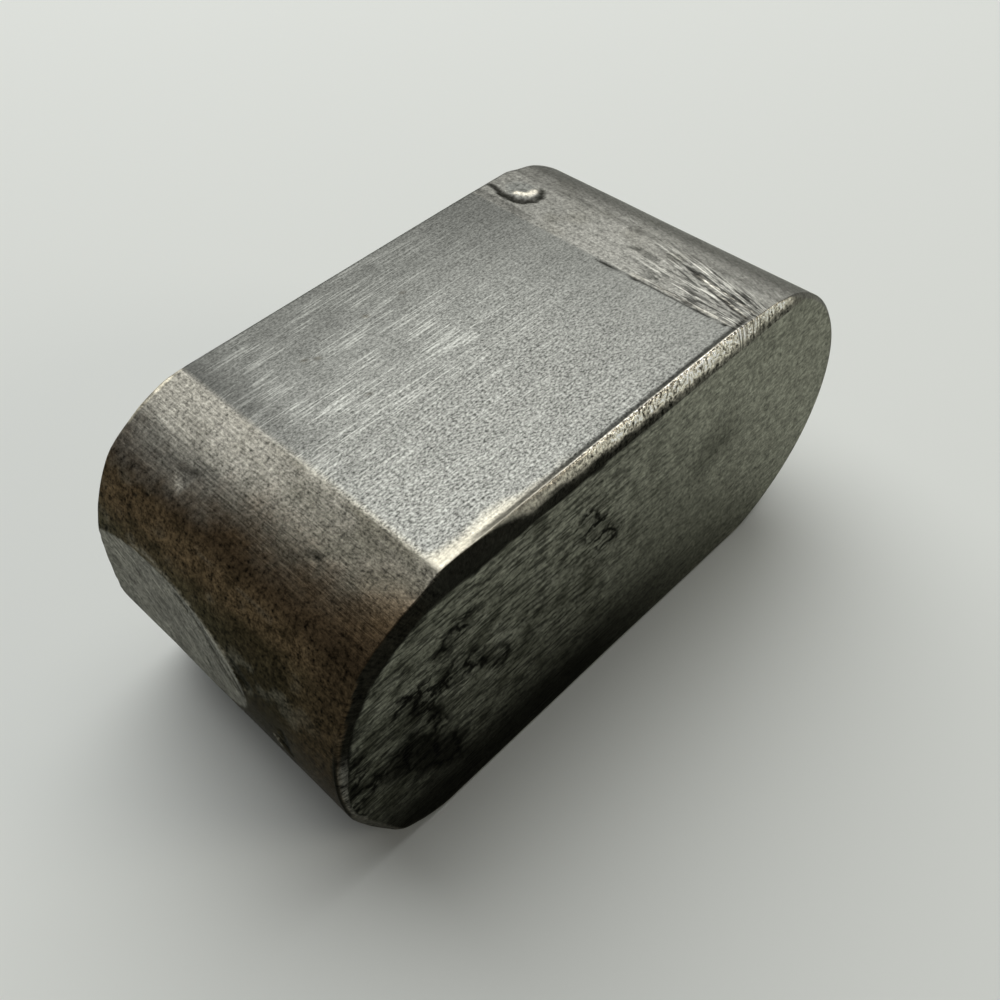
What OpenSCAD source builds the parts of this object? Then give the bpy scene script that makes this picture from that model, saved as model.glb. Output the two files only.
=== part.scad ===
// Locating pin: one solid block of steel with dressed round ends, lying on its lower flat.
// X runs along the length, Y through the depth and Z up. The origin is the middle of the lower flat.
// The face towards -Y is called the front: it has the widest edge break.

/* [Block] */
// Overall length from nose to nose
pin_length = 21.4; // [16:0.1:32]
// Height between the lower and the upper flat
pin_height = 10; // [8:0.1:13]
// Depth between the front face and the back face
pin_depth = 10.8; // [7:0.1:18]

/* [Left end] */
// Radius of the blunt nose
left_nose_r = 6.5; // [6:0.1:20]
// Distance of the nose's crown below the middle of the block
left_nose_drop = 0.2; // [0:0.1:1.5]
// Radius that leads from the upper flat into the nose
left_top_r = 4.5; // [2:0.1:4.8]
// Radius that leads from the lower flat into the nose
left_bottom_r = 3.7; // [1.5:0.1:4.8]
// Distance from the nose to the upper edge of the filed land on the left
left_land_run = 4.2; // [3:0.1:6]
// Slope of the left land against the upper flat, in degrees
left_land_slope = 16; // [6:1:28]

/* [Right end] */
// Radius of the round end beyond half the height: it leaves a faint crease at each flat
right_extra_r = 0.08; // [0.05:0.01:0.6]
// Distance from the right nose to the upper edge of the filed land on the right
right_land_run = 5.85; // [4:0.05:8]
// Slope of the right land against the upper flat, in degrees
right_land_slope = 4; // [2:0.5:12]

/* [Edges] */
// Width of the broken top front edge, measured across the upper flat
top_break_run = 0.25; // [0.15:0.01:0.6]
// Height of the broken top front edge, measured down the front face
top_break_drop = 0.7; // [0.3:0.01:1.2]
// Width of the bevel round the rest of the front face
front_bevel = 0.12; // [0.05:0.01:0.24]
// Width of the bevel round the back face
back_bevel = 0.15; // [0.05:0.01:0.6]
// Height by which a corner arc overshoots the flat that it runs into
arc_overshoot = 0.05; // [0.02:0.01:0.2]

/* [Ground patch on the left nose] */
// Depth of the patch below the nose at its crown line
patch_depth = 0.2; // [0.05:0.01:0.8]
// Distance of the crown line from the back face
patch_inset = 3.6; // [0:0.1:6]
// Radius of the wheel that ground the patch
patch_r = 50; // [24:1:120]
// Angle by which the patch leans towards the upper flat, in degrees
patch_tilt = 0.5; // [-8:0.5:8]

/* [Marks] */
// Outer radius of the crescent dent by the back corner
crescent_r = 1; // [0.4:0.05:1.5]
// Widest part of the crescent
crescent_w = 0.3; // [0.15:0.01:0.6]
// Depth of the crescent below the land
crescent_depth = 0.12; // [0.04:0.01:0.3]
// Distance of the crescent from the right nose
crescent_run = 4.4; // [3.5:0.1:6]
// Distance of the crescent from the back face
crescent_inset = 0.9; // [0.7:0.1:3]
// Side of the three-cornered nick in the left end
nick_side = 0.9; // [0.4:0.05:1.5]
// Depth of the nick below the surface round it
nick_depth = 0.12; // [0.04:0.01:0.3]
// Distance of the nick from the back face
nick_inset = 3.1; // [1.5:0.1:5]
// Direction of the nick from the centre of the upper left arc, in degrees above the horizontal
nick_angle = 57; // [30:1:66]
// Depth of the chip in the front rim, on the lower part of the left end
chip_depth = 0.36; // [0.3:0.01:0.8]
// Direction of the chip from the centre of the lower left arc, in degrees below the horizontal
chip_angle = 24; // [5:1:60]

/* [Hidden] */
$fn = 120;
half_l = pin_length / 2;
half_h = pin_height / 2;
half_d = pin_depth / 2;
steel_colour = [0.47, 0.46, 0.43];

// Anything that only has to reach past the block does so by its whole length.
beyond = pin_length;

right_r = half_h + right_extra_r;
right_x = half_l - right_r;
left_x = left_nose_r - half_l;

// Section across the block, from the middle out to a rim at the reach w: distance first, depth second.
module rim_section(w) {
  polygon([
    [0, -half_d],
    [w - front_bevel, -half_d],
    [w, front_bevel - half_d],
    [w, half_d - back_bevel],
    [w - back_bevel, half_d],
    [0, half_d]
  ]);
}

// A round plate on an axis through x, z that runs along the depth, with both rims bevelled.
module drum(x, z, r) {
  translate([x, 0, z])
    rotate([90, 0, 0])
      rotate_extrude($fn = 360)
        mirror([0, 1]) rim_section(r);
}

// A block of full depth that reaches beyond the pin from the corner x, z: to the right or left, up or down.
module quarter_space(x, z, right, up) {
  translate([right ? x : x - beyond, -half_d, up ? z : z - beyond])
    cube([beyond, pin_depth, beyond]);
}

// Everything to the right of the middle of a drum, or to the left of it.
module half_space(x, right) {
  quarter_space(x, 0, right, true);
  quarter_space(x, 0, right, false);
}

// The stretch between the two flats, with its long edges bevelled.
module slab() {
  for (side = [0, 1])
    mirror([0, 0, side])
      translate([-beyond, 0, 0])
        rotate([90, 0, 90])
          linear_extrude(2 * beyond)
            rotate(90) mirror([0, 1]) rim_section(half_h);
}

// Keeps what lies inside one corner arc of the left end. Beyond the arc it keeps everything.
module left_corner(r, up) {
  side = up ? 1 : -1;
  x = r - half_l;
  z = side * (half_h + arc_overshoot - r);
  drum(x, z, r);
  quarter_space(x, z, true, up);
  other_half(x, z, up);
}

// Everything beyond the height z, on the side of the other flat.
module other_half(x, z, up) {
  quarter_space(x, z, true, !up);
  quarter_space(x, z, false, !up);
}

// Keeps what lies inside the broken edge where it follows the upper left arc. It tapers towards the
// middle of the nose, where it starts just inside the narrow bevel.
module left_edge_break() {
  r = half_h - top_break_drop + arc_overshoot;
  x = r + 0.8 * front_bevel - half_l;
  translate([x, 0, 0])
    rotate([90, 0, 0])
      rotate_extrude($fn = 360)
        mirror([0, 1])
          polygon([
            [0, -half_d],
            [r, -half_d],
            [r + half_h, half_h * top_break_run / top_break_drop - half_d],
            [r + half_h, beyond],
            [0, beyond]
          ]);
  quarter_space(x, 0, true, true);
  other_half(x, 0, true);
}

// The slab closed at both ends by its arcs: a round end on the right, a blunt one on the left.
module round_ended_block() {
  intersection() {
    slab();
    union() {
      drum(right_x, 0, right_r);
      half_space(right_x, false);
    }
    union() {
      drum(left_x, -left_nose_drop, left_nose_r);
      half_space(left_x, true);
    }
    left_corner(left_top_r, true);
    left_corner(left_bottom_r, false);
    left_edge_break();
  }
}

// What a file takes off above a sloping plane: run is counted from the nose on that side.
module land_cut(side, run, slope) {
  translate([side * (half_l - run), -pin_depth, half_h])
    rotate([0, side * slope, 0])
      translate([-beyond, 0, 0])
        cube([2 * beyond, 2 * pin_depth, beyond]);
}

// What is missing along the top front edge: a steep plane cut that runs out on the right end.
module top_edge_cut() {
  translate([-beyond, -half_d, half_h - top_break_drop])
    rotate([atan2(top_break_drop, top_break_run), 0, 0])
      translate([0, -beyond, 0])
        cube([2 * beyond, 2 * beyond, beyond]);
}

// The wheel that ground the patch. It bites deepest at its crown line and runs out towards the front.
module grinding_wheel() {
  translate([patch_depth - half_l, half_d - patch_inset, 0])
    rotate([0, patch_tilt, 0])
      translate([-patch_r, 0, 0])
        cylinder(h = 2 * beyond, r = patch_r, center = true, $fn = 720);
}

// Crescent: a round punch less the same one shifted towards the back. It stands square to the right land.
module crescent_mark() {
  top = half_h - (right_land_run - crescent_run) * tan(right_land_slope);
  translate([half_l - crescent_run, half_d - crescent_inset, top])
    rotate([0, right_land_slope, 60])
      translate([0, 0, -crescent_depth])
        difference() {
          cylinder(h = pin_height, r = crescent_r);
          translate([crescent_w, 0, -pin_height])
            cylinder(h = 3 * pin_height, r = crescent_r);
        }
}

// Nick: one corner of a bar, struck square to the upper left arc.
module nick_mark() {
  translate([left_top_r - half_l, half_d - nick_inset, half_h + arc_overshoot - left_top_r])
    rotate([0, nick_angle, 0])
      translate([nick_depth - left_top_r, 0, 0])
        rotate([0, -90, 0])
          rotate(75)
            cylinder(h = pin_height, r = nick_side / sqrt(3), $fn = 3);
}

// Chip: a flat break across the front rim, half way between the front face and the lower left arc.
module chip_mark() {
  translate([left_bottom_r - half_l, -half_d, left_bottom_r - half_h - arc_overshoot])
    rotate([0, -chip_angle, 0])
      translate([-left_bottom_r, 0, 0])
        rotate([0, 0, 45])
          translate([chip_depth - beyond, -beyond, -beyond])
            cube([beyond, 2 * beyond, 2 * beyond]);
}

module locating_pin() {
  color(steel_colour)
    translate([0, 0, half_h])
      difference() {
        round_ended_block();
        top_edge_cut();
        grinding_wheel();
        land_cut(1, right_land_run, right_land_slope);
        land_cut(-1, left_land_run, left_land_slope);
        crescent_mark();
        nick_mark();
        chip_mark();
      }
}

locating_pin();
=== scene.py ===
# Worn steel locating pin on a pale table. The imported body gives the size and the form, and this
# script cuts the same form finely enough to carry its wear: lands, ground patch, dents and scratches.
import math
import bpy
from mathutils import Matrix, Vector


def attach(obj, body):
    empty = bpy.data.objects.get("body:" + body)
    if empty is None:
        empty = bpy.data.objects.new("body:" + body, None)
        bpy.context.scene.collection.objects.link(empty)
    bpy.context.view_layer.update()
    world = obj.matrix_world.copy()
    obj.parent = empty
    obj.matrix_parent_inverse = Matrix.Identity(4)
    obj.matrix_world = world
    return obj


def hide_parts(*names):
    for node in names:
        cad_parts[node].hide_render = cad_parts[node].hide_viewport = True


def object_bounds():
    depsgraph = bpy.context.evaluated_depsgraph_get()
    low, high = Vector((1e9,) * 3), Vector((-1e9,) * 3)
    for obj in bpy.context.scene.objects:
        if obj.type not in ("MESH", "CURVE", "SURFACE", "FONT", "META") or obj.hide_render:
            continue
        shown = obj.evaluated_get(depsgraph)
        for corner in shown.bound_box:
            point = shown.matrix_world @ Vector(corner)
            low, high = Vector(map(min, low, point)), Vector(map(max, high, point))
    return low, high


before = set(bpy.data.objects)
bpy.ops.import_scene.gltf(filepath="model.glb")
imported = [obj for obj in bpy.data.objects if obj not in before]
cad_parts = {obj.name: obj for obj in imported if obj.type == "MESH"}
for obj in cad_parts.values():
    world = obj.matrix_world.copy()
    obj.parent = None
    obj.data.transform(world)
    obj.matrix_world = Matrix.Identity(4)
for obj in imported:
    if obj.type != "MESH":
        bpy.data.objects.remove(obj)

from types import SimpleNamespace

import bmesh
import bpy
import numpy as np
from mathutils import Quaternion, Vector

cadLow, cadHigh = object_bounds()
mm = 0.001
scene = bpy.context.scene
scene.view_settings.view_transform = "Standard"
print("pin: packed body loaded")

# Camera: place and aim in millimetres from the origin, roll in degrees
view = {
    "place": (-15.886, -17.668, 29.952),
    "aim": (1.921, 1.767, 0),
    "roll": -4.04,
    "lens": 39.374,
    "sensor": 36,
    "sees": (1, 10000),
}


def setCamera():
    lens = bpy.data.cameras.new("viewCamera")
    lens.sensor_width = view["sensor"]
    lens.lens = view["lens"]
    lens.clip_start = view["sees"][0] * mm
    lens.clip_end = view["sees"][1] * mm
    camera = bpy.data.objects.new("viewCamera", lens)
    place = Vector(view["place"]) * mm
    aim = Vector(view["aim"]) * mm
    camera.rotation_mode = "QUATERNION"
    level = (aim - place).to_track_quat("-Z", "Y")
    camera.rotation_quaternion = level @ Quaternion((0, 0, 1), math.radians(view["roll"]))
    camera.location = place
    scene.collection.objects.link(camera)
    scene.camera = camera


# Light: one large soft window above and behind, a small card in front on the right and an even dim room.
# A light is its place, size, glow (1 looks plain white) and colour.
light = {
    "window": ((110, 152, 243), 440, 2.05, (1, 1, 1)),
    "card": ((155, -225, 115), 95, 4.2, (1, 0.94, 0.82)),
    "room": 0.11,
    "tableReach": 900,
    "tableColour": (0.79, 0.815, 0.775),
    "tableRoughness": 0.7,
    "tableShine": 0.2,
}


def addSoftbox(name):
    place, size, glow, colour = light[name]
    box = bpy.data.lights.new(name, "AREA")
    box.shape = "SQUARE"
    box.size = size * mm
    box.color = colour
    box.energy = glow * math.pi * box.size**2
    lamp = bpy.data.objects.new(name, box)
    lamp.location = Vector(place) * mm
    lamp.rotation_mode = "QUATERNION"
    lamp.rotation_quaternion = (-lamp.location).to_track_quat("-Z", "Y")
    scene.collection.objects.link(lamp)


def setLight():
    addSoftbox("window")
    addSoftbox("card")
    room = bpy.data.worlds.new("dimRoom")
    room.use_nodes = True
    room.node_tree.nodes["Background"].inputs["Color"].default_value = (1, 1, 1, 1)
    room.node_tree.nodes["Background"].inputs["Strength"].default_value = light["room"]
    scene.world = room


def layTable():
    bm = bmesh.new()
    bmesh.ops.create_grid(bm, x_segments=1, y_segments=1, size=light["tableReach"] * mm)
    mesh = bpy.data.meshes.new("tableTop")
    bm.to_mesh(mesh)
    bm.free()
    top = bpy.data.objects.new("tableTop", mesh)
    scene.collection.objects.link(top)
    paper = bpy.data.materials.new("paleTable")
    paper.use_nodes = True
    shader = paper.node_tree.nodes["Principled BSDF"]
    shader.inputs["Base Color"].default_value = (*light["tableColour"], 1)
    shader.inputs["Roughness"].default_value = light["tableRoughness"]
    shader.inputs["Specular IOR Level"].default_value = light["tableShine"]
    mesh.materials.append(paper)


setCamera()
setLight()
layTable()
print("pin: camera, light and table set")

# The pin: lengths are in millimetres from the middle of the block, which lies with its front to -y
halfLong, front, halfHigh = cadHigh[0] / mm, cadLow[1] / mm, cadHigh[2] / 2 / mm
pin = {
    # Cuts of the blank. Its two half round ends turn about -turn and turn.
    "turn": 5.6,
    "leftCuts": 180,
    "flatCuts": ((9.6, 60), (1.6, 27)),             # length and cuts, from the left
    "rightCuts": ((150, 95), (30, 45)),             # degrees and cuts, from the bottom
    "rows": ((0.025, 12), (0.05, 6), (0.092, 102), (0.068, 12)),
    "frontRings": ((0.06, 10), (0.151725, 29)),
    "backRings": ((0.1, 5), (0.45, 10)),
    "weld": 0.0001,
    # Form: an arc is its radius and the height of its middle
    "rightArc": (5.08, 0),
    "noseArc": (6.5, -0.2),
    "topArc": (4.5, 0.55),
    "lowArc": (3.7, -1.35),
    # A land is x of its upper line, its slope, how round that line is, how much rounder it rolls into
    # the arc below, and between which two values of wayZ, which is 1 straight up, that grows
    "leftLand": (-6.5, 16, 0.07, 0.38, (0.95, 0.8)),
    "rightLand": (4.85, -4, 0.03, 0.22, (0.985, 0.955)),
    "frontBevel": 0.12,
    "backBevel": 0.15,
    "crease": 0.03,                                 # rounding of every other line between two surfaces
    "cutCrease": 0.02,                              # and of the lines round the broken edge and the chip
    "breakRun": 0.25,
    "breakDrop": 0.7,
    "breakSwell": 0.3,                              # how full the broken edge is, 0 is a flat chamfer
    "breakArc": (-6.5, 0.5, 3.8),                   # middle and radius of its turn down the left end
    "breakEnd": (0.6, 0.4, -2.1),                   # how far it backs off there, and between which heights
    "wheel": (0.2, 2.45, 30, 4),                    # depth, y, radius and lean of the wheel at the patch
    "wheelCrease": 0.006,
    "chip": (24, 0.509),                            # place on the lower left arc in degrees, and depth
    "nick": (2.4, 57, 0.56, 0.035, 135),            # y, place on the upper left arc, size, depth and turn
    # Unevenness: where, depth, length of its grains along x, y and z, seed
    "uneven": (
        ("all", 0.012, (3.2, 2.6, 2.6), 3),
        ("flat", 0.003, (2.4, 0.2, 3), 5),
        ("dressed", 0.006, (0.5, 0.7, 0.45), 7),
        ("dressed", 0.004, (0.25, 1.6, 0.2), 8),
        ("face", 0.006, (3.0, 9, 0.26), 11),
        ("broken", 0.012, (0.3, 0.1, 0.16), 13),
    ),
    "skin": 0.012,                                  # how far the surface lies inside the form on average
    "rollOver": 0.05,
    "groove": (0.31, 0.025),                        # distance from the front face and depth
    "noseFrom": -10.3,
    # Scratches, gouges and pits: start, end, half width, depth. A minus depth is a bright raised lip.
    "scratches": (
        # Right land: its upper line, the fan of scratches and three smudges
        ((4.79, -0.1, 5.0), (4.86, -4.85, 5.0), 0.055, 0.03),
        ((4.92, -1.4, 5.0), (4.97, -4.8, 5.0), 0.04, -0.006),
        ((6.64, -0.88, 4.87), (5.93, -5.1, 4.92), 0.06, 0.02),
        ((6.24, -2.8, 4.9), (5.86, -5.1, 4.93), 0.04, -0.012),
        ((6.2, -2.8, 4.9), (5.5, -5.1, 4.95), 0.04, -0.012),
        ((6.45, -2.06, 4.89), (5.44, -5.1, 4.95), 0.06, 0.018),
        ((6.41, -3.96, 4.89), (6.1, -5.0, 4.91), 0.05, 0.02),
        ((5.97, -0.38, 4.92), (6.14, -0.75, 4.91), 0.13, 0.014),
        ((6.14, -0.75, 4.91), (6.03, -1.46, 4.92), 0.07, 0.01),
        ((6.79, 0.21, 4.86), (6.85, -0.1, 4.86), 0.14, 0.008),
        # Crescent, stroke by stroke, and its bright inner lip
        ((5.62, 5.2, 4.95), (5.58, 4.8, 4.95), 0.15, 0.03),
        ((5.58, 4.8, 4.95), (5.47, 4.5, 4.96), 0.13, 0.03),
        ((5.47, 4.6, 4.96), (5.5, 3.95, 4.95), 0.21, 0.04),
        ((5.5, 4.0, 4.95), (5.6, 3.7, 4.95), 0.19, 0.038),
        ((5.6, 3.7, 4.95), (5.9, 3.48, 4.93), 0.2, 0.038),
        ((5.9, 3.48, 4.93), (6.2, 3.5, 4.91), 0.19, 0.036),
        ((6.2, 3.5, 4.91), (6.5, 3.68, 4.88), 0.16, 0.032),
        ((5.82, 4.2, 4.94), (5.96, 3.86, 4.92), 0.15, -0.02),
        ((5.96, 3.86, 4.92), (6.28, 3.84, 4.9), 0.15, -0.02),
        # Left land and the arc below it
        ((-6.69, 1.26, 4.94), (-6.5, 0.86, 5.0), 0.06, 0.02),
        ((-7.98, 1.52, 4.58), (-8.0, 0.06, 4.57), 0.05, -0.004),
        ((-8.06, 1.6, 4.56), (-8.09, 0.1, 4.55), 0.05, 0.006),
        ((-9.55, 0.9, 3.5), (-9.6, 0.2, 3.42), 0.07, -0.003),
        ((-9.57, -0.95, 3.46), (-9.6, -2.3, 3.42), 0.08, -0.003),
        # Gouges in the ground patch
        ((-10.41, 1.45, 1.72), (-10.46, 1.1, 1.42), 0.15, 0.05),
        ((-10.42, 1.25, 1.75), (-10.46, 0.95, 1.5), 0.05, 0.02),
        ((-10.44, 0.8, 1.45), (-10.5, -0.25, 0.6), 0.14, 0.05),
        ((-10.4, 0.9, 1.75), (-10.46, 0.1, 1.35), 0.05, 0.015),
        ((-10.46, 0.35, 1.4), (-10.52, -0.6, 0.8), 0.06, 0.02),
        ((-10.5, 0.65, -0.25), (-10.5, 0.5, -0.5), 0.13, 0.02),
        ((-10.53, -0.3, 0.45), (-10.56, -0.95, 0.1), 0.15, 0.05),
        ((-10.55, -0.8, 0.7), (-10.59, -1.4, 0.2), 0.15, 0.05),
        ((-10.5, -1.0, 1.4), (-10.58, -1.75, 0.98), 0.16, 0.05),
        ((-10.52, -1.35, 1.4), (-10.6, -2.0, 1.0), 0.06, 0.02),
        # Light streaks along the upper boundary of the patch
        ((-10.22, 3.9, 2.1), (-10.24, 2.2, 2.3), 0.07, -0.008),
        ((-10.25, 2.3, 2.22), (-10.34, 0.7, 1.98), 0.08, -0.01),
        ((-10.3, 1.4, 2.05), (-10.42, -0.1, 1.68), 0.07, -0.01),
        ((-10.38, 0.3, 1.8), (-10.48, -0.9, 1.42), 0.09, -0.014),
        ((-10.42, 0.1, 1.55), (-10.52, -0.95, 1.1), 0.07, -0.012),
        ((-10.45, -0.6, 1.5), (-10.54, -1.5, 1.1), 0.07, -0.012),
        # Gouges in front of the patch
        ((-10.6, -3.1, 0.4), (-10.62, -3.25, -0.2), 0.15, 0.05),
        ((-10.7, -2.92, -0.1), (-10.68, -3.28, -0.52), 0.15, 0.05),
        ((-10.7, -2.7, -0.2), (-10.68, -2.9, -0.55), 0.06, -0.015),
        # Pits
        ((-8.05, -2.42, 4.56), (-8.05, -2.45, 4.56), 0.11, 0.04),
        ((-8.0, -2.2, 4.58), (-8.2, -2.32, 4.53), 0.06, 0.012),
        ((-9.42, 3.22, 3.68), (-9.42, 3.26, 3.68), 0.1, 0.04),
        ((-9.58, 3.76, 3.45), (-9.58, 3.7, 3.45), 0.08, 0.03),
        ((-10.36, 4.86, 1.88), (-10.36, 4.8, 1.88), 0.09, 0.04),
    ),
    # Dark cracked places on the front face: start, end, half width (x, z)
    "cracked": (
        ((-8.3, 1.3), (-6.0, 0.9), 0.55),
        ((-7.9, 1.2), (-7.5, -0.6), 0.6),
        ((-6.2, 0.8), (-4.9, -0.2), 0.4),
        ((-9.8, -0.6), (-8.6, -1.0), 0.5),
        ((-8.6, -0.8), (-7.2, -2.4), 0.75),
        ((-7.0, 2.3), (-5.9, 2.8), 0.35),
        ((-1.5, 2.4), (-0.5, 1.05), 0.5),
        ((-10.3, -1.4), (-10.0, 0.7), 0.45),
    ),
    "blotch": ((-8.5, -0.9), (-7.4, -2.3)),
    # Smudges on the upper flat: x, y, size
    "smudges": (
        (-3.99, 2.9, 0.1), (-3.7, 2.71, 0.13), (-3.71, 0.55, 0.08),
        (-1.6, 3.1, 0.14), (-0.2, 3.1, 0.12),
    ),
    "highFrom": 4,                                  # height from which the upper flat's stains may lie
    "fanFrom": (4.9, -9.6, 8),                      # where the fan's scratches meet, and how far they spread
    # Where colours start and where they are full: depths below the upper flat on the left end, for oxide
    # that also carries painted shade, the height of the painted shadow on the front face, and x of both ends
    # of the bright part of the broken edge, worn metal under a painted highlight
    "brownDepth": (0.25, 1.2),
    "greenDepth": (1.9, 3.0),
    "blackDepth": (1.4, 3.0),
    "footHeight": (-1.6, -4.0),
    "wornBright": ((-5.0, 1.0), (7.9, 7.0)),
    # Seeded noise of the stains and of the painted light and shade: length of the grains along x, y and z,
    # seed
    "cloud": ((1.6, 1.8, 1.5), 21),
    "mottle": ((0.5, 0.6, 0.45), 22),
    "fleck": ((0.2, 0.25, 0.2), 23),
    # Colours of the steel, as they would be in a plain white light; the cream and the brightest colour also
    # serve as painted highlights, and the blackest as painted shade besides dirt
    "ground": (0.222, 0.226, 0.206),
    "landTan": (0.285, 0.275, 0.235),
    "landGrey": (0.12, 0.114, 0.09),
    "oxideBrown": (0.09, 0.063, 0.035),
    "oxideGreen": (0.058, 0.051, 0.03),
    "oxideBlackAndShade": (0.02, 0.015, 0.007),
    "patch": (0.235, 0.23, 0.2),
    "face": (0.205, 0.21, 0.165),
    "faceLight": (0.285, 0.29, 0.235),
    "faceBlack": (0.02, 0.021, 0.012),
    "rightEnd": (0.235, 0.233, 0.208),
    "bandGrey": (0.15, 0.145, 0.12),
    "cream": (0.76, 0.71, 0.56),
    "bareAndHighlight": (1, 0.94, 0.78),
    "sootBrown": (0.05, 0.042, 0.028),
    "sootAndShade": (0.008, 0.008, 0.006),
}
leftLine, rightLine = pin["leftLand"][0], pin["rightLand"][0]


def partsOf(made, kind):
    return [item for item in made if isinstance(item, kind)]


def sweepEdges(bm, edges, step, count):
    swept = bmesh.ops.spin(bm, geom=edges, cent=(0, 0, 0), axis=(0, 1, 0), dvec=step, angle=0, steps=count)
    return partsOf(swept["geom_last"], bmesh.types.BMEdge)


def closeFace(bm, edges, rings):
    # Ring after ring of faces from the rim inwards, until the last ring meets on the middle line
    gone = 0
    for width, count in rings:
        for _ in range(count):
            made = bmesh.ops.extrude_edge_only(bm, edges=edges)["geom"]
            fresh = set(partsOf(made, bmesh.types.BMVert))
            edges = [edge for edge in partsOf(made, bmesh.types.BMEdge) if fresh.issuperset(edge.verts)]
            keep = max(0.0, (halfHigh - gone - width) / (halfHigh - gone))
            gone += width
            for v in fresh:
                turnX = min(max(v.co.x, -pin["turn"]), pin["turn"])
                v.co.x = turnX + (v.co.x - turnX) * keep
                v.co.z *= keep


def cutBlank():
    bm = bmesh.new()
    turn = pin["turn"]
    last = bmesh.ops.create_vert(bm, co=(-turn, front, halfHigh))["vert"]
    # Left round end, lower flat, right round end, upper flat: middle of the turn, degrees, length, cuts
    runs = [(-turn, 180, 0, pin["leftCuts"])]
    runs += [(0, 0, length, cuts) for length, cuts in pin["flatCuts"]]
    runs += [(turn, degrees, 0, cuts) for degrees, cuts in pin["rightCuts"]]
    runs += [(0, 0, -length, cuts) for length, cuts in reversed(pin["flatCuts"])]
    for centre, degrees, length, cuts in runs:
        swept = bmesh.ops.spin(
            bm, geom=last, cent=(centre, front, 0), axis=(0, 1, 0), dvec=(length / cuts, 0, 0),
            angle=-math.radians(degrees), steps=cuts,
        )
        last = partsOf(swept["geom_last"], bmesh.types.BMVert)
    bmesh.ops.remove_doubles(bm, verts=bm.verts, dist=pin["weld"])
    frontRing = bm.edges[:]
    ring = frontRing
    for step, count in pin["rows"]:
        ring = sweepEdges(bm, ring, (0, step, 0), count)
    closeFace(bm, ring, pin["backRings"])
    closeFace(bm, frontRing, pin["frontRings"])
    bmesh.ops.remove_doubles(bm, verts=bm.verts, dist=pin["weld"])
    bmesh.ops.recalc_face_normals(bm, faces=bm.faces)
    mesh = bpy.data.meshes.new("pinBody")
    bm.to_mesh(mesh)
    bm.free()
    return mesh


pinMesh = cutBlank()
print("pin: blank cut,", len(pinMesh.polygons), "faces")


def smooth(start, end, value):
    # 0 at the start, 1 at the end and soft at both; the end may be the lower of the two
    share = np.clip((value - start) / (end - start), 0, 1)
    return share * share * (3 - 2 * share)


def nearer(a, b, soft):
    # The smaller of two reaches, with the corner between them rounded over about the given length
    share = np.clip(0.5 + 0.5 * (b - a) / soft, 0, 1)
    return b * (1 - share) + a * share - soft * share * (1 - share)


def grain(points, size, seed):
    # Smooth seeded noise from -1 to 1; size is the length of its grains along x, y and z
    table = np.random.default_rng(seed).uniform(-1, 1, 4096)
    place = points / np.array(size, float)
    cell = np.floor(place).astype(int)
    part = place - cell
    part = part * part * (3 - 2 * part)
    total = 0
    for i in (0, 1):
        for j in (0, 1):
            for k in (0, 1):
                share = np.abs(1 - i - part[:, 0]) * np.abs(1 - j - part[:, 1]) * np.abs(1 - k - part[:, 2])
                pick = (cell[:, 0] + i) * 73 + (cell[:, 1] + j) * 1179 + (cell[:, 2] + k) * 2711
                total = total + share * table[pick % len(table)]
    return total


# Reaches: each point of the blank looks out from turnX on the middle plane, along (wayX, wayZ),
# and a reach is how far away a surface lies in that direction
outOfReach = 99


def drumReach(turnX, wayX, wayZ, x, z, radius):
    half = (turnX - x) * wayX - z * wayZ
    rest = (turnX - x) ** 2 + z * z - radius**2
    return -half + np.sqrt(np.maximum(half * half - rest, 0))


def planeReach(gap, facing, least=0.05):
    # A plane cuts nothing where it faces away by more than the least facing
    return np.where(facing > least, gap / np.maximum(facing, least), outOfReach)


def landReach(turnX, wayX, wayZ, x, slope):
    slope = math.radians(slope)
    facing = -math.sin(slope) * wayX + math.cos(slope) * wayZ
    return planeReach(-math.sin(slope) * (x - turnX) + math.cos(slope) * halfHigh, facing)


def breakReach(turnX, wayX, wayZ, fromFront):
    # Broken top front edge: a rounded bead that turns down the upper left arc and dies out there
    share = fromFront / pin["breakRun"]
    rise = pin["breakDrop"] * (share + pin["breakSwell"] * np.sin(np.pi * np.clip(share, 0, 1)))
    edge = planeReach(halfHigh - pin["breakDrop"] + rise, wayZ, 0.3)
    x, z, radius = pin["breakArc"]
    back, high, low = pin["breakEnd"]
    hit = drumReach(turnX, wayX, wayZ, x, z, radius + rise)
    hit += back * smooth(z + high, z + low, hit * wayZ)
    return np.where((turnX + hit * wayX < x) & (wayZ > -0.4), np.minimum(edge, hit), edge)


def chipReach(turnX, wayX, wayZ, fromFront):
    # Chip in the front rim: a plane between the front face and the lower left arc
    turn, depth = pin["chip"]
    turn = math.radians(turn)
    radius, z = pin["lowArc"]
    facing = -math.cos(turn) * wayX - math.sin(turn) * wayZ
    gap = radius - depth + fromFront + math.cos(turn) * (turnX - radius + halfLong) - math.sin(turn) * z
    return planeReach(gap, facing, 0.2)


def wheelReach(turnX, wayX, wayZ, y):
    depth, axleY, radius, lean = pin["wheel"]
    lean = math.radians(lean)
    offX, offY = turnX - (depth - halfLong - radius), y - axleY
    onAxle = offX * math.sin(lean)
    wayOn = wayX * math.sin(lean) + wayZ * math.cos(lean)
    a = 1 - wayOn**2
    b = offX * wayX - onAxle * wayOn
    c = offX**2 + offY**2 - onAxle**2 - radius**2
    inside = b * b - a * c
    hit = c / np.maximum(np.sqrt(np.maximum(inside, 0)) - b, 1e-6)
    return np.where((inside > 0) & (b < 0), hit, outOfReach)


def hold(out, hit, where):
    # The surface stays inside this form wherever the form applies
    return np.where(where, nearer(out, hit, pin["crease"]), out)


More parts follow.
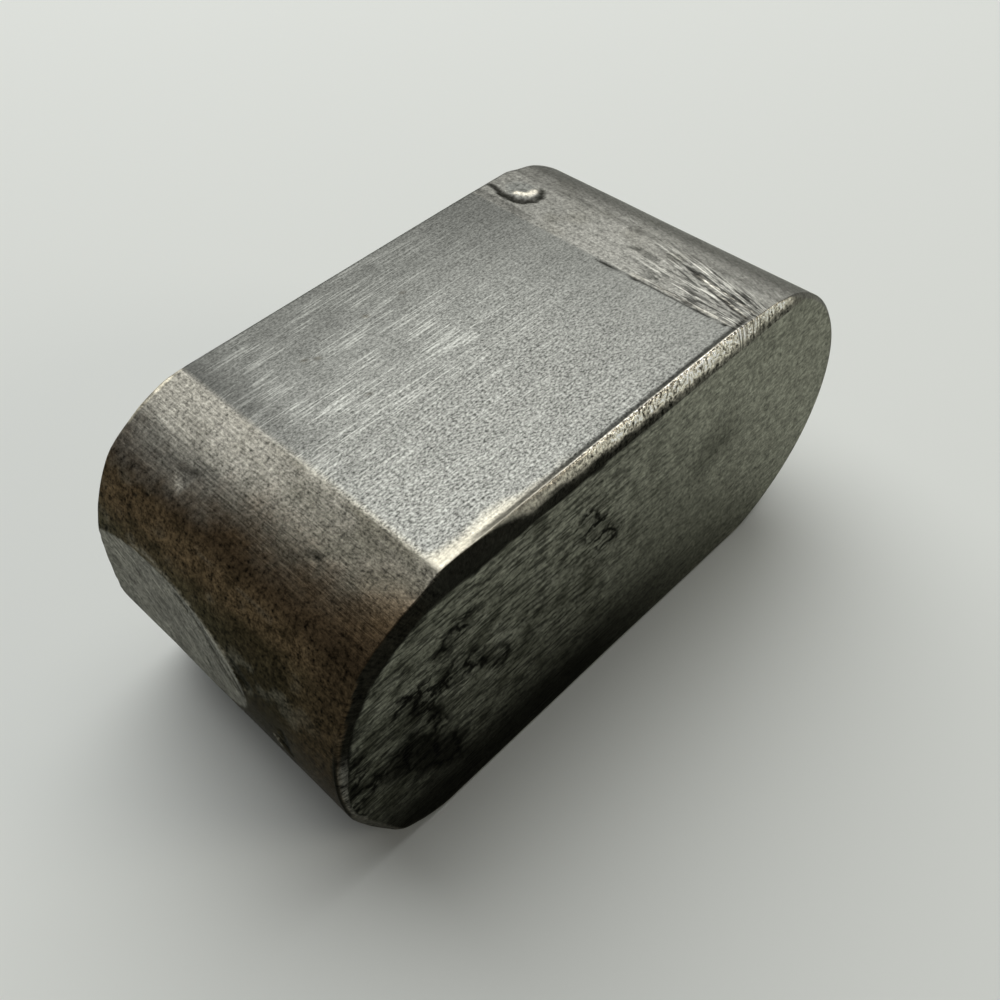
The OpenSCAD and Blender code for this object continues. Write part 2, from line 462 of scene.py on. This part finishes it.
def findReach(turnX, wayX, wayZ, y):
    # How far the pin itself reaches, and which points lie on the broken edge, the chip and the patch
    fromFront, fromBack = y - front, -front - y
    bevel = np.maximum(pin["frontBevel"] - fromFront, 0) + np.maximum(pin["backBevel"] - fromBack, 0)
    out = planeReach(halfHigh - bevel, np.abs(wayZ))
    radius, z = pin["rightArc"]
    hit = drumReach(turnX, wayX, wayZ, halfLong - radius, z, radius - bevel)
    out = hold(out, hit, turnX + hit * wayX > halfLong - radius)
    for arc, up in (("noseArc", 0), ("topArc", 1), ("lowArc", -1)):
        radius, z = pin[arc]
        x = radius - halfLong
        hit = drumReach(turnX, wayX, wayZ, x, z, radius - bevel)
        out = hold(out, hit, (turnX + hit * wayX < x) & (up * (hit * wayZ - z) >= 0))
    for land in ("leftLand", "rightLand"):
        x, slope, crisp, roll, tilts = pin[land]
        out = nearer(out, landReach(turnX, wayX, wayZ, x, slope), crisp + roll * smooth(*tilts, wayZ))
    edge = breakReach(turnX, wayX, wayZ, fromFront)
    broken = smooth(-0.01, 0.02, out - edge)
    out = nearer(out, edge, pin["cutCrease"])
    chip = chipReach(turnX, wayX, wayZ, fromFront)
    chipped = smooth(0, 0.03, out - chip)
    out = nearer(out, chip, pin["cutCrease"])
    wheel = wheelReach(turnX, wayX, wayZ, y)
    ground = smooth(0, 0.012, out - wheel)
    return nearer(out, wheel, pin["wheelCrease"]), broken, chipped, ground


def lineGap(points, start, end):
    # Distance of each point from a straight line between two places
    start = np.array(start, float)
    way = np.array(end, float) - start
    share = np.clip((points - start) @ way / max(way @ way, 1e-9), 0, 1)
    return np.linalg.norm(points - start - share[:, None] * way, axis=1)


def readTriples(items, name):
    values = np.zeros(len(items) * 3)
    items.foreach_get(name, values)
    return values.reshape(-1, 3)


def writePoints(mesh, points):
    mesh.vertices.foreach_set("co", points.ravel())
    mesh.update()


def carvePin(mesh):
    blank = readTriples(mesh.vertices, "co")
    y = blank[:, 1]
    turnX = np.clip(blank[:, 0], -pin["turn"], pin["turn"])
    offX, offZ = blank[:, 0] - turnX, blank[:, 2]
    out = np.hypot(offX, offZ)
    share = np.minimum(out / halfHigh, 1)
    wayX = np.where(out > 1e-6, offX / np.maximum(out, 1e-6), 0)
    wayZ = np.where(out > 1e-6, offZ / np.maximum(out, 1e-6), 1)
    reach, broken, chipped, ground = findReach(turnX, wayX, wayZ, y)
    points = np.stack([turnX + wayX * reach * share, y, wayZ * reach * share], 1)
    writePoints(mesh, points)
    # Zones go from 0 to 1: the rim is all but the two faces. fromRim is a distance, inwards on a face.
    rim = (share > 0.9999).astype(float)
    return points, {
        "rim": rim, "broken": broken * rim, "chipped": chipped * rim, "ground": ground * rim,
        "face": (1 - rim) * (y < 0),
        "fromRim": reach * (1 - share),
        "left": smooth(leftLine + 0.08, leftLine - 0.08, points[:, 0]) * rim,
        "right": smooth(rightLine - 0.05, rightLine + 0.05, points[:, 0]) * rim,
    }


def nickPin(points):
    # Three-cornered nick, laid out along and across the upper left arc
    y, place, size, _, turn = pin["nick"]
    radius, z = pin["topArc"]
    angle = np.arctan2(points[:, 2] - z, -(points[:, 0] - radius + halfLong))
    along = (angle - math.radians(place)) * radius
    across = points[:, 1] - y
    corner = np.full(len(points), -99.0)
    for side in range(3):
        way = math.radians(turn + 120 * side)
        corner = np.maximum(corner, along * math.cos(way) + across * math.sin(way))
    return smooth(size / 2 + 0.03, size / 2 - 0.12, corner)


def scratchPin(points, rim):
    # Depth of all the marks together, then how black the deep ones are, as painted shade in their hollows,
    # and how bright the lips, as bare metal under a painted highlight
    depth, dark, bright = np.zeros((3, len(points)))
    fray = 0.02 * grain(points, (0.2, 0.2, 0.2), 17)
    for start, end, wide, deep in pin["scratches"]:
        # The wheel has moved the nose a little along x, so its marks go mainly by y and z
        keep = np.array((0.1 if start[0] < pin["noseFrom"] else 1, 1, 1))
        gap = lineGap(points * keep, np.array(start) * keep, np.array(end) * keep) + fray
        mark = smooth(wide, wide * 0.3, gap) * rim
        depth += deep * mark
        if deep > 0:
            dark = np.maximum(dark, mark * min(1, deep / 0.025))
        else:
            bright = np.maximum(bright, mark * min(1, -deep / 0.02))
    return depth, dark, bright


def wearPin(mesh, points, zones):
    x, y, z = points.T
    rim, left = zones["rim"], zones["left"]
    fromFront = y - front
    flat = smooth(4.5, 4.8, z) * rim * (1 - left)
    where = dict(zones, all=1, flat=flat, dressed=left * (1 - zones["ground"]))
    height = np.full(len(points), -pin["skin"])
    for zone, depth, size, seed in pin["uneven"]:
        height += depth * grain(points, size, seed) * where[zone]
    # The near left part of the upper flat rolls over a little towards the broken edge
    height -= pin["rollOver"] * smooth(0.95, 0.2, fromFront) * smooth(-1.5, -4.5, x) * flat
    # Groove between the upper flat and the broken edge
    place, depth = pin["groove"]
    groove = smooth(0.1, 0.03, np.abs(fromFront - place)) * rim * smooth(2.5, 3.5, z)
    groove *= smooth(-6.0, -4.6, x) * smooth(6.4, 5.2, x)
    height -= depth * groove
    zones["nick"] = nickPin(points) * left
    height -= pin["nick"][3] * zones["nick"]
    depth, dark, zones["bright"] = scratchPin(points, rim)
    # Painted shade: the deep marks and the groove between the flat and the broken edge are painted dark
    zones["dark"] = np.maximum(dark, 0.9 * groove)
    normals = readTriples(mesh.vertex_normals, "vector")
    writePoints(mesh, points + normals * (height - depth)[:, None])


points, zones = carvePin(pinMesh)
wearPin(pinMesh, points, zones)
print("pin: form and wear carved")


def blend(under, name, share):
    return under + (np.array(pin[name]) - under) * np.clip(share, 0, 1)[:, None]


def darken(under, share):
    return under * (1 - share)[:, None]


def surveyPin(points, zones):
    # Place, zones and seeded noise of every point under plain names
    x, y, z = points.T
    at = SimpleNamespace(x=x, y=y, z=z, fromFront=y - front, down=halfHigh - z, **zones)
    at.high = z > pin["highFrom"]
    at.upper = at.high * at.rim
    at.cloud, at.mottle, at.fleck = (grain(points, *pin[name]) for name in ("cloud", "mottle", "fleck"))
    # Flat rubbed bright by the near left corner under a painted highlight, worn part of the broken edge
    # under a painted highlight, fan of scratches, cracks
    nearEdge = smooth(0.95 + 0.25 * at.mottle, 0.45, at.fromFront + 0.08 * (x - leftLine + 0.1))
    at.rubbed = nearEdge * smooth(-1.0, -3.6, x) * (x > leftLine - 0.12)
    starts, ends = pin["wornBright"]
    at.worn = smooth(*starts, x + 0.7 * at.mottle) * smooth(*ends, x)
    at.fan = at.right * smooth(0.2, -3.2, y) * smooth(0.3, -0.1, x - 6.35 - 0.18 * (y + 5)) * at.high
    at.cracks = np.zeros(len(points))
    for start, end, wide in pin["cracked"]:
        gap = lineGap(np.stack([x, z], 1), start, end) + 0.2 * at.mottle
        at.cracks = np.maximum(at.cracks, smooth(wide * 1.2, wide * 0.6, gap))
    return at


def paintFlat(tone, at):
    # Upper flat: painted light and shade make it darker at the back and the right, brighter towards the near
    # left corner and darker along the line of the left land; a painted highlight lies on that line and on
    # the rubbed near left corner
    glow = 0.7 + 0.2 * smooth(5.2, 0.5, at.y) + 0.2 * smooth(1, -5, at.y) * smooth(4, -5, at.x)
    dullSpots = smooth(0.1, 0.8, at.mottle + 0.6 * at.cloud)
    glow -= 0.12 * dullSpots * smooth(-1, 1.5, at.y) * smooth(1.5, 0, at.x)
    # Painted shade: darker towards the back right, along the left land's line and towards the back
    glow *= 1 - 0.2 * smooth(0.5, 4.5, at.x) * smooth(-3, 1, at.y)
    fromLand = np.abs(at.x - leftLine - 0.4 + 0.1 * at.y) + 0.2 * at.mottle
    glow *= 1 - 0.38 * smooth(1.3, 0.1, fromLand) * smooth(-2, 3, at.y) * at.upper
    glow *= 1 - 0.15 * smooth(1.5, 4.5, at.y)
    tone = tone * (glow + 0.03 * at.cloud + 0.03 * at.mottle)[:, None]
    for x, y, size in pin["smudges"]:
        tone = blend(tone, "sootBrown", 0.7 * smooth(size, 0.02, np.hypot(at.x - x, at.y - y)) * at.upper)
    # Painted highlight in cream along the left land's line and on the rubbed near left corner
    ridge = smooth(0.16, 0.03, np.abs(at.x - leftLine)) * smooth(2.5, -3.5, at.y + 0.4 * at.mottle)
    return blend(tone, "cream", np.maximum(0.6 * at.rubbed, 0.33 * ridge) * at.upper)


def paintLeftEnd(tone, at):
    # Tan land, then brown, green and black oxide round the nose, each by its depth below the flat; painted
    # shade greys and darkens the land and the near rim and deepens the black towards the front, and painted
    # light brightens a band just below the land
    down = at.down + 0.22 * at.cloud + 0.2 * at.mottle + 0.12 * at.fleck
    greyer = 0.95 * smooth(4.2, -4.0, at.y + 0.6 * at.cloud) - 0.35 * at.mottle - 0.2 * at.fleck
    tone = blend(tone, "landTan", at.left)
    # Painted shade: the land turns greyer and darker towards the front
    tone = blend(tone, "landGrey", at.left * greyer)
    tone = darken(tone, 0.16 * at.left * smooth(1, -4, at.y))
    tone = blend(tone, "oxideBrown", at.left * smooth(*pin["brownDepth"], down - 0.06 * at.y))
    # Painted light: a lighter band just below the land
    lighter = 0.3 * smooth(0.8, 1.2, at.down) * smooth(2.6, 1.8, at.down)
    tone = darken(tone, -at.left * lighter)
    tone = blend(tone, "oxideGreen", at.left * smooth(*pin["greenDepth"], down + 0.3 * at.cloud))
    # Black oxide, deepened towards the front and the bottom by painted shade
    nearBlack = smooth(3.0, -4.0, at.y + 2.2 * at.cloud) * smooth(*pin["blackDepth"], down)
    tone = blend(tone, "oxideBlackAndShade", 0.85 * at.left * nearBlack)
    blackSpots = smooth(0.1, 0.7, at.mottle + 0.4 * at.fleck) * smooth(0.9, 1.9, down)
    tone = blend(tone, "oxideBlackAndShade", 0.5 * at.left * blackSpots)
    greySpots = smooth(0.2, 0.8, -at.mottle - 0.3 * at.fleck) * smooth(1.2, 2.2, down)
    tone = blend(tone, "landGrey", 0.5 * at.left * greySpots)
    nearBrown = smooth(2.6, 0.3, at.fromFront) * smooth(0.1, 0.8, at.down)
    tone = blend(tone, "oxideBrown", 0.75 * at.left * nearBrown)
    # Painted shade: darker along the near rim, low and high
    tone = darken(tone, 0.3 * at.left * smooth(1.4, 0.3, at.fromFront) * smooth(2.5, -2.5, at.z))
    return darken(tone, 0.4 * at.left * smooth(1.9, 0.5, at.fromFront) * smooth(4.5, 3.3, at.z))


def paintPatch(tone, at):
    tone = blend(tone, "patch", at.ground)
    blackSpots = smooth(0.1, 0.9, at.mottle + 0.5 * at.fleck)
    tone = blend(tone, "oxideBlackAndShade", 0.35 * at.ground * blackSpots)
    tanSpots = smooth(0.1, 0.8, -at.mottle - 0.4 * at.fleck) * smooth(-0.2, 1.2, at.z)
    tone = blend(tone, "landTan", 0.5 * at.ground * tanSpots)
    # Painted shade: the foot of the left end round the patch is darker towards the bottom
    return darken(tone, 0.35 * at.left * smooth(0.5, -2.5, at.z) * (1 - at.ground))


def paintRightEnd(tone, at):
    # Grey land and round end, clean inside the crescent and darker beside it
    tone = blend(tone, "rightEnd", at.right)
    tone = blend(tone, "landGrey", 0.35 * at.right * smooth(0.1, 0.9, at.cloud + 0.5 * at.mottle))
    inside = smooth(0.55, 0.3, np.hypot(at.x - 6.08, (at.y - 4.25) / 1.2))
    tone = blend(tone, "ground", inside * at.high)
    beside = smooth(0.22, 0.05, np.abs(at.x - rightLine - 0.2)) * smooth(2.3, 3.5, at.y)
    tone = darken(tone, 0.4 * beside * at.upper)
    return darken(tone, 0.22 * at.right * smooth(0, 4, at.y) + 0.08 * smooth(6.5, 8.2, at.x) * at.rim)


def paintFace(tone, at):
    # Front face: painted light and shade make it lighter towards its upper right and darker towards its
    # lower left; cracked and stained on the left, and nearly black at the foot, where a painted shadow lies
    tone = blend(tone, "face", at.face)
    # Painted light: lighter towards the upper right
    tone = blend(tone, "faceLight", at.face * smooth(-3, 7, 0.8 * at.x + 0.9 * at.z + 0.8 * at.cloud))
    fromCloud = np.hypot((at.x - 4.3) / 1.3, at.z - 0.9) + 0.3 * at.cloud + 0.15 * at.mottle
    tone = blend(tone, "faceBlack", 0.45 * at.face * smooth(1.6, 0.3, fromCloud))
    # Painted shade: darker towards the lower left
    upRight = 0.75 * at.x + 1.3 * at.z + 0.8 * at.cloud
    tone = blend(tone, "faceBlack", 0.45 * at.face * smooth(3, -8, upRight))
    blackSpots = smooth(0.1, 0.9, at.mottle + 0.5 * at.cloud + 0.3 * at.fleck) * smooth(5, -2, at.x)
    tone = blend(tone, "faceBlack", 0.6 * at.face * blackSpots)
    lightSpots = smooth(0.1, 0.8, -at.mottle - 0.5 * at.cloud) * smooth(-3, 0, at.z) * smooth(6, 0, at.x)
    tone = blend(tone, "faceLight", 0.5 * at.face * lightSpots)
    dirty = smooth(-0.2, 0.6, at.fleck + at.mottle) * smooth(4, -2, at.z)
    tone = blend(tone, "sootAndShade", at.face * at.cracks * (0.15 + 0.65 * dirty))
    # Painted shadow: nearly black at the foot
    foot = smooth(*pin["footHeight"], at.z + 0.3 * at.mottle) * smooth(6, -2, at.x)
    tone = blend(tone, "sootAndShade", 0.96 * at.face * foot)
    fromBlotch = lineGap(np.stack([at.x, at.z], 1), *pin["blotch"]) + 0.5 * at.mottle + 0.3 * at.fleck
    return blend(tone, "sootAndShade", 0.85 * at.face * smooth(1.1, 0.3, fromBlotch))


def paintBrokenEdge(tone, at):
    # Painted shade makes it black on the left and along its foot; above towards the right it is bright and
    # gritty worn metal under a painted highlight
    share = at.fromFront / pin["breakRun"]
    straight = at.broken * smooth(-7.4, -6.7, at.x)
    tone = blend(tone, "bandGrey", straight)
    # Painted highlight on the worn metal of its upper part
    above = smooth(0.1, 0.34, share + 0.06 * at.mottle + 0.06 * at.fleck) * smooth(1.15, 0.95, share)
    tone = blend(tone, "bareAndHighlight", straight * above * (0.1 + 0.9 * at.worn) * (0.9 + 0.4 * at.fleck))
    # Painted shade: black along its foot, wider at the left corner
    corner = smooth(-3.5, -5.5, at.x) * smooth(0.5, 2.5, at.z)
    foot = smooth(0.4, 0.2, share + 0.05 * at.mottle + 0.06 * smooth(-3, 3, at.x) - 0.5 * corner)
    tone = blend(tone, "sootAndShade", 0.97 * at.broken * foot * smooth(6.5, -0.5, at.x + 0.5 * at.mottle))
    # Painted shade: a dark band on the face just below the edge, on the left
    rimShade = smooth(0.16, 0.03, at.fromRim + 0.06 * at.mottle) * smooth(3, -2, at.x + at.mottle)
    return blend(tone, "sootAndShade", rimShade * at.face * smooth(-1, 1, at.z))


def paintRims(tone, at):
    # Black line down the near rim of the left end, painted shade, then a light line, the chip, and the
    # bright far rim
    blackLine = smooth(0.24, 0.12, at.fromFront + 0.04 * at.mottle) * smooth(0.02, 0.1, at.fromFront)
    blackLine *= smooth(-4.4, -3.0, at.z) * smooth(2.2, 1.2, at.z)
    tone = blend(tone, "sootAndShade", at.left * blackLine)
    lightLine = smooth(0.07, 0.02, at.fromFront) * smooth(1.6, 0.8, at.z)
    tone = blend(tone, "patch", at.left * lightLine * (0.45 + 0.3 * at.fleck))
    tone = blend(tone, "landGrey", 0.6 * at.chipped)
    farRim = smooth(0.2, 0.1, -front - at.y) * smooth(4.1, 4.5, at.z)
    return blend(tone, "cream", at.left * farRim * smooth(-0.3, 0.3, at.mottle + 0.4))


def paintMarks(tone, at):
    tone = blend(tone, "landTan", 0.6 * at.nick)
    # Bright bare metal under a painted highlight on the raised lips, and painted shade in the deep marks and
    # the groove
    tone = blend(tone, "bareAndHighlight", at.bright * (0.6 - 0.3 * at.left))
    return blend(tone, "sootAndShade", 0.92 * at.dark)


def findFinish(at):
    # How strongly each place shows long bright lines, fine grain and grit
    onTop = (0.35 + 0.65 * smooth(-3.2, 0.5, at.y)) * smooth(4.6, -1.0, at.x) * (1 - at.left) * at.rim
    onLeft = at.left * (0.22 * smooth(0.8, 1.4, at.down) * smooth(2.6, 1.8, at.down) + 0.6 * at.ground)
    onFace = 0.5 * at.face * smooth(2, -6, at.x) * smooth(-4, -1, at.z)
    nearGrain = 0.9 * smooth(4, -3, at.y) * smooth(6, 0, at.x) * at.rim * (1 - 0.7 * at.left)
    fine = (0.8 + nearGrain - 0.2 * smooth(3, 7, at.x)) * (1 - 0.75 * at.rubbed * at.high)
    return onTop + onLeft + onFace + 2 * at.fan, fine, at.broken * (0.4 + 0.8 * at.worn)


def findGrime(at):
    # How strongly each place shows dark streaks, cracks and mottling
    streaked = at.face * (0.3 + 0.55 * smooth(4, -3, at.x)) + 0.4 * at.ground + 0.9 * at.fan
    onLeft = at.left * (0.3 + 0.4 * smooth(0.4, 1.4, at.down))
    mottled = 0.12 * at.rim + 0.22 * at.right + onLeft + 0.5 * at.face - 0.25 * at.ground
    return streaked, at.cracks * at.face, mottled


def keepColour(mesh, name, values):
    colour = mesh.color_attributes.new(name, "FLOAT_COLOR", "POINT")
    colour.data.foreach_set("color", np.stack([*values, np.ones(len(mesh.vertices))], 1).ravel())


def paintPin(mesh, points, zones):
    at = surveyPin(points, zones)
    tone = np.tile(np.array(pin["ground"]), (len(points), 1))
    steelCoats = (paintFlat, paintLeftEnd, paintPatch, paintRightEnd, paintFace)
    wearCoats = (paintBrokenEdge, paintRims, paintMarks)
    for paint in steelCoats + wearCoats:
        tone = paint(tone, at)
    keepColour(mesh, "pinTone", np.clip(tone, 0.004, 1).T)
    keepColour(mesh, "pinFinish", findFinish(at))
    keepColour(mesh, "pinGrime", findGrime(at))


def layGrain(mesh, points, zones):
    # Map of the grinding lines, in millimetres: u runs along them and v across them
    starts = np.zeros(len(mesh.polygons), int)
    mesh.polygons.foreach_get("loop_start", starts)
    corners = np.zeros(len(mesh.loops), int)
    mesh.loops.foreach_get("vertex_index", corners)
    counts = np.diff(np.append(starts, len(corners)))

    def middle(values):
        return np.repeat(np.add.reduceat(values[corners], starts) / counts, counts)

    x, y, z = points[corners].T
    midX, midZ = middle(points[:, 0]), middle(points[:, 2])
    rim = middle(zones["rim"]) > 0.4
    ground = middle(zones["ground"]) > 0.5
    rightEnd = rim & (midX > rightLine)
    rounding = np.arctan2(z, np.abs(x) - halfHigh) * halfHigh
    meetX, meetY, spread = pin["fanFrom"]
    fanAlong = np.hypot(x - meetX, y - meetY)
    fanAcross = np.arctan2(x - meetX, y - meetY) * spread
    # The added lengths give every surface a stretch of the pattern to itself
    u, v = x.copy(), y.copy()
    for where, along, across in (
        (~rim, x + 31, z + 23),
        (rim & (midX < leftLine), y + 47, rounding + 61),
        (rim & ground, y + 0.8 * z + 83, z - 0.6 * y + 71),
        (rightEnd & (midZ > 3.2), fanAlong + 103, fanAcross + 97),
        (rightEnd & (midZ <= 3.2), y + 127, rounding + 113),
    ):
        u, v = np.where(where, along, u), np.where(where, across, v)
    layer = mesh.uv_layers.new(name="pinGrain")
    layer.data.foreach_set("uv", np.stack([u, v], 1).ravel())


paintPin(pinMesh, points, zones)
layGrain(pinMesh, points, zones)
print("pin: stains and grain laid")

# Steel: a pattern is the size of its grains in millimetres, along and across the lines or along x, y and z,
# then its detail and roughness, the two levels of the noise that count and what they become
steel = {
    "longLine": ((1.9, 0.07), 2.2, 0.6, (0, 1), (0, 1)),
    "patchy": ((2.5, 0.8), 1, 0.55, (0.4, 0.6), (0.86, 1.12)),
    "dull": ((1.1, 0.09), 2, 0.55, (0.3, 0.7), (-0.5, 0.5)),
    "speck": ((0.1, 0.06), 3.5, 0.65, (0.3, 0.7), (-0.5, 0.5)),
    "grit": ((0.09, 0.09, 0.09), 2.5, 0.65, (0.35, 0.65), (-1, 1)),
    "blot": ((0.45, 0.5, 0.4), 3, 0.55, (0.3, 0.7), (-0.5, 0.5)),
    "mottle": ((0.17, 0.17, 0.17), 4, 0.68, (0.32, 0.68), (-1, 1)),
    "streak": ((0.8, 0.13), 2, 0.65, (0.48, 0.6), (0, 1)),
    "brightLevels": (0.55, 0.68),
    # How strongly each of them shows in the colour, and how high the specks and the grit stand
    "show": {
        "bright": 0.8, "speck": 0.9, "dull": 0.25, "blot": 0.15, "grit": 0.72, "streak": 0.82, "crack": 0.95,
    },
    "raise": {"speck": 0.45, "grit": 2.0},
    "cracksPerMm": (1.1, 1.9, 1),
    "crackBend": (0.25, 0.45),                      # size of the bends and how far they go
    "crackWidth": (0.05, 0.19),                     # black inside the first distance, clean past the second
    "roughness": (0.5, 0.36),                       # of the dark specks and the light ones
    "gritPolish": 0.18,
    "metallic": 0.92,
    "glance": (0.5, 0.5, 0.48, 1),                  # how much it shines at a glancing angle
    "oxideShine": 0.3,
    "bump": (0.5, 0.006),                           # strength and height
}


def addNode(tree, kind, inputs=(), **settings):
    node = tree.nodes.new(kind)
    for name, value in settings.items():
        setattr(node, name, value)
    for socket, value in dict(inputs).items():
        if isinstance(value, bpy.types.NodeSocket):
            tree.links.new(value, node.inputs[socket])
        else:
            node.inputs[socket].default_value = value
    return node


def remap(tree, value, levels, become=(0, 1)):
    low, high = levels
    toLow, toHigh = become
    inputs = {"Value": value, "From Min": low, "From Max": high, "To Min": toLow, "To Max": toHigh}
    return addNode(tree, "ShaderNodeMapRange", inputs).outputs[0]


def addPattern(tree, place, name):
    size, detail, roughness, levels, become = steel[name]
    shrink = [1 / length for length in size] + [1] * (3 - len(size))
    scaled = addNode(tree, "ShaderNodeMapping", {"Vector": place, "Scale": shrink}).outputs[0]
    inputs = {"Vector": scaled, "Scale": 1.0, "Detail": detail, "Roughness": roughness}
    noise = addNode(tree, "ShaderNodeTexNoise", inputs, noise_dimensions=f"{len(size)}D").outputs[0]
    return remap(tree, noise, levels, become)


def combine(tree, kind, first, *others):
    for other in others:
        first = addNode(tree, "ShaderNodeMath", {0: first, 1: other}, operation=kind).outputs[0]
    return first


def readColour(tree, name):
    colour = addNode(tree, "ShaderNodeAttribute", attribute_name=name).outputs["Color"]
    return colour, addNode(tree, "ShaderNodeSeparateColor", {0: colour}).outputs


def addCracks(tree, lines):
    # A net of fine cracks, drawn out along the grinding lines
    size, far = steel["crackBend"]
    inputs = {"Vector": lines, "Scale": 1 / size, "Detail": 2.0}
    bend = addNode(tree, "ShaderNodeTexNoise", inputs, noise_dimensions="2D").outputs["Color"]
    shift = addNode(tree, "ShaderNodeVectorMath", {0: bend, 3: far}, operation="SCALE").outputs[0]
    place = addNode(tree, "ShaderNodeVectorMath", {0: lines, 1: shift}, operation="ADD").outputs[0]
    place = addNode(tree, "ShaderNodeMapping", {"Vector": place, "Scale": steel["cracksPerMm"]}).outputs[0]
    cells = addNode(
        tree, "ShaderNodeTexVoronoi", {"Vector": place, "Scale": 1.0},
        voronoi_dimensions="2D", feature="DISTANCE_TO_EDGE",
    )
    return remap(tree, cells.outputs["Distance"], steel["crackWidth"], (1, 0))


def wornSteel():
    material = bpy.data.materials.new("wornSteel")
    material.use_nodes = True
    tree = material.node_tree
    shader = tree.nodes["Principled BSDF"]

    def times(*values):
        return combine(tree, "MULTIPLY", *values)

    def plus(*values):
        return combine(tree, "ADD", *values)

    def without(share):
        return combine(tree, "SUBTRACT", 1.0, share)

    tone, _ = readColour(tree, "pinTone")
    _, (longShare, fineShare, gritShare) = readColour(tree, "pinFinish")
    _, (streakShare, crackShare, mottleShare) = readColour(tree, "pinGrime")
    lines = addNode(tree, "ShaderNodeUVMap", uv_map="pinGrain").outputs[0]
    place = addNode(tree, "ShaderNodeTexCoord").outputs["Object"]
    solid = addNode(tree, "ShaderNodeMapping", {"Vector": place, "Scale": [1 / mm] * 3}).outputs[0]
    longLine, patchy, dull, speck, streak = (
        addPattern(tree, lines, name) for name in ("longLine", "patchy", "dull", "speck", "streak")
    )
    grit, blot, mottle = (addPattern(tree, solid, name) for name in ("grit", "blot", "mottle"))
    # Long bright scratches of the grinding, fine salt and pepper grain, grit and mottling
    show, stand = steel["show"], steel["raise"]
    bright = times(remap(tree, times(longLine, patchy), steel["brightLevels"]), longShare, show["bright"])
    gritty = times(grit, gritShare)
    level = plus(times(speck, fineShare, show["speck"]), times(dull, show["dull"]))
    level = plus(level, times(blot, show["blot"]), bright)
    level = plus(level, times(gritty, show["grit"]), times(mottle, mottleShare), 1.0)
    level = combine(tree, "MAXIMUM", level, 0.05)
    # Dark streaks and cracks that dirt has filled
    level = times(level, without(times(streak, streakShare, show["streak"])))
    level = times(level, without(times(addCracks(tree, lines), crackShare, show["crack"])))
    colour = addNode(tree, "ShaderNodeVectorMath", {0: tone, 1: level}, operation="MULTIPLY").outputs[0]
    tree.links.new(colour, shader.inputs["Base Color"])
    rough = remap(tree, speck, (-0.5, 0.5), steel["roughness"])
    rough = combine(tree, "SUBTRACT", rough, times(gritShare, steel["gritPolish"]))
    tree.links.new(rough, shader.inputs["Roughness"])
    shader.inputs["Metallic"].default_value = steel["metallic"]
    shader.inputs["Specular Tint"].default_value = steel["glance"]
    shader.inputs["Specular IOR Level"].default_value = steel["oxideShine"]
    strength, high = steel["bump"]
    height = plus(times(speck, stand["speck"]), dull, bright, times(gritty, stand["grit"]))
    bump = addNode(tree, "ShaderNodeBump", {"Strength": strength, "Distance": high * mm, "Height": height})
    tree.links.new(bump.outputs[0], shader.inputs["Normal"])
    return material


pinMesh.materials.append(wornSteel())
print("pin: steel made")

body = bpy.data.objects.new("pinBody", pinMesh)
scene.collection.objects.link(body)
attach(body, "root")
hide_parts("locating_pin")
finished = readTriples(pinMesh.vertices, "co")
finished[:, 2] = np.clip(finished[:, 2] + halfHigh, 0, 2 * halfHigh)
writePoints(pinMesh, finished * mm)
pinMesh.shade_smooth()
print("pin: piece placed")
